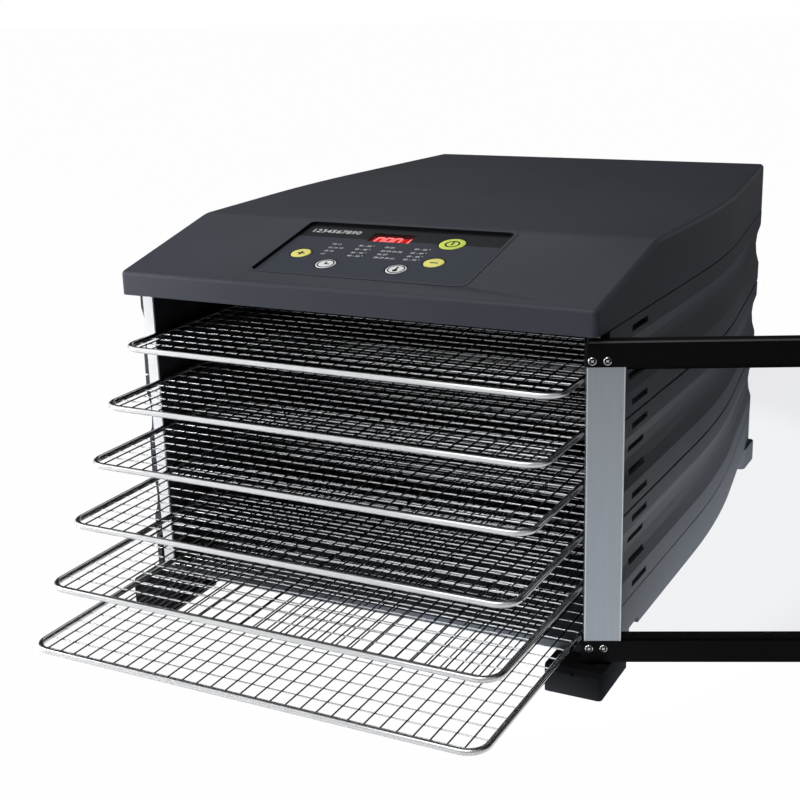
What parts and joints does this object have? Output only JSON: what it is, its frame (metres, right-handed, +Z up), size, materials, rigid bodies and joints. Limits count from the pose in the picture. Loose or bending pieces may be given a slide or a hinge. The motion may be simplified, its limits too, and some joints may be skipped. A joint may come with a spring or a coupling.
{
  "type": "food dehydrator",
  "caption": "Cabinet food dehydrator with wavy bulging sides, sloping control hood, swing glass door, pull-out wire trays and a rear fan that blows warm air through.",
  "frame": {"origin": "on the floor plane under the middle of the cabinet, half way between the front fascia and the back of the hood", "axes": "+Z up, -Y towards the front where the trays pull out, +X towards the hinge side of the door"},
  "size_m": [0.6236, 0.5943, 0.2582],
  "materials": {
    "chrome_wire": "bright plated",
    "charcoal_plastic": "fine matte",
    "black_plastic": "satin",
    "satin_silver": "satin",
    "clear_glass": "clear",
    "pin_steel": "turned",
    "liner_plastic": "matte",
    "plain_steel": "plain",
    "fan_plastic": "matte",
    "panel_print": "printed foil",
    "red_window": "tinted",
    "display_body": "matte",
    "board": "matte",
    "yellow_button": "soft matte",
    "lime_button": "soft matte",
    "white_button": "soft matte"
  },
  "bodies": {
    "cabinet": {"base": "charcoal_plastic", "chamber_ceiling": "liner_plastic", "control_board": "board", "control_panel": "panel_print", "display_module": "display_body", "display_window": "red_window", "fan_baffle": "liner_plastic", "fan_motor": "plain_steel", "foot_front_left": "black_plastic", "foot_front_right": "black_plastic", "foot_rear_left": "black_plastic", "foot_rear_right": "black_plastic", "heater_ring": "plain_steel", "hood": "charcoal_plastic", "jamb_strip_left": "satin_silver", "jamb_strip_right": "satin_silver", "liner_left": "liner_plastic", "liner_right": "liner_plastic", "motor_bracket": "plain_steel", "rear_cover": "charcoal_plastic", "runners_left": "liner_plastic", "runners_right": "liner_plastic", "side_band_left_bottom": "charcoal_plastic", "side_band_left_middle": "charcoal_plastic", "side_band_left_top": "charcoal_plastic", "side_band_right_bottom": "charcoal_plastic", "side_band_right_middle": "charcoal_plastic", "side_band_right_top": "charcoal_plastic"},
    "door": {"door_glass": "clear_glass", "door_handle": "satin_silver", "door_pin_bottom": "pin_steel", "door_pin_top": "pin_steel", "door_rail_bottom": "black_plastic", "door_rail_top": "black_plastic", "door_stile_handle": "satin_silver", "door_stile_hinge": "satin_silver"},
    "tray_1": {"tray_1_frame": "chrome_wire", "tray_1_mesh": "chrome_wire"},
    "tray_2": {"tray_2_frame": "chrome_wire", "tray_2_mesh": "chrome_wire"},
    "tray_3": {"tray_3_frame": "chrome_wire", "tray_3_mesh": "chrome_wire"},
    "tray_4": {"tray_4_frame": "chrome_wire", "tray_4_mesh": "chrome_wire"},
    "tray_5": {"tray_5_frame": "chrome_wire", "tray_5_mesh": "chrome_wire"},
    "tray_6": {"tray_6_frame": "chrome_wire", "tray_6_mesh": "chrome_wire"},
    "fan": {"fan_rotor": "fan_plastic"},
    "button_power": {"button_power": "lime_button"},
    "button_plus": {"button_plus": "yellow_button"},
    "button_minus": {"button_minus": "yellow_button"},
    "button_time": {"button_time": "white_button"},
    "button_temperature": {"button_temperature": "white_button"}
  },
  "joints": [
    {"name": "door_hinge", "type": "hinge", "parent": "cabinet", "child": "door", "pos_m": [0.158, -0.2215, 0.118], "axis": [0, 0, 1], "range_deg": [-109, 2]},
    {"name": "tray_1_slide", "type": "slide", "parent": "cabinet", "child": "tray_1", "axis": [0, -1, 0], "range_m": [-0.0433, 0.2407]},
    {"name": "tray_2_slide", "type": "slide", "parent": "cabinet", "child": "tray_2", "axis": [0, -1, 0], "range_m": [-0.0676, 0.2164]},
    {"name": "tray_3_slide", "type": "slide", "parent": "cabinet", "child": "tray_3", "axis": [0, -1, 0], "range_m": [-0.0876, 0.1964]},
    {"name": "tray_4_slide", "type": "slide", "parent": "cabinet", "child": "tray_4", "axis": [0, -1, 0], "range_m": [-0.1103, 0.1737]},
    {"name": "tray_5_slide", "type": "slide", "parent": "cabinet", "child": "tray_5", "axis": [0, -1, 0], "range_m": [-0.1348, 0.1492]},
    {"name": "tray_6_slide", "type": "slide", "parent": "cabinet", "child": "tray_6", "axis": [0, -1, 0], "range_m": [-0.1543, 0.1297]},
    {"name": "button_power_press", "type": "slide", "parent": "cabinet", "child": "button_power", "axis": [0, 0.2105, -0.9776], "range_m": [0, 0.0006], "stiffness_N_per_m": 300},
    {"name": "button_plus_press", "type": "slide", "parent": "cabinet", "child": "button_plus", "axis": [0, 0.2105, -0.9776], "range_m": [0, 0.0006], "stiffness_N_per_m": 300},
    {"name": "button_minus_press", "type": "slide", "parent": "cabinet", "child": "button_minus", "axis": [0, 0.2105, -0.9776], "range_m": [0, 0.0006], "stiffness_N_per_m": 300},
    {"name": "button_time_press", "type": "slide", "parent": "cabinet", "child": "button_time", "axis": [0, 0.2105, -0.9776], "range_m": [0, 0.0006], "stiffness_N_per_m": 300},
    {"name": "button_temperature_press", "type": "slide", "parent": "cabinet", "child": "button_temperature", "axis": [0, 0.2105, -0.9776], "range_m": [0, 0.0006], "stiffness_N_per_m": 300},
    {"name": "fan_spin", "type": "hinge", "parent": "cabinet", "child": "fan", "pos_m": [0, 0.153, 0.12], "axis": [0, 1, 0], "continuous": true}
  ]
}
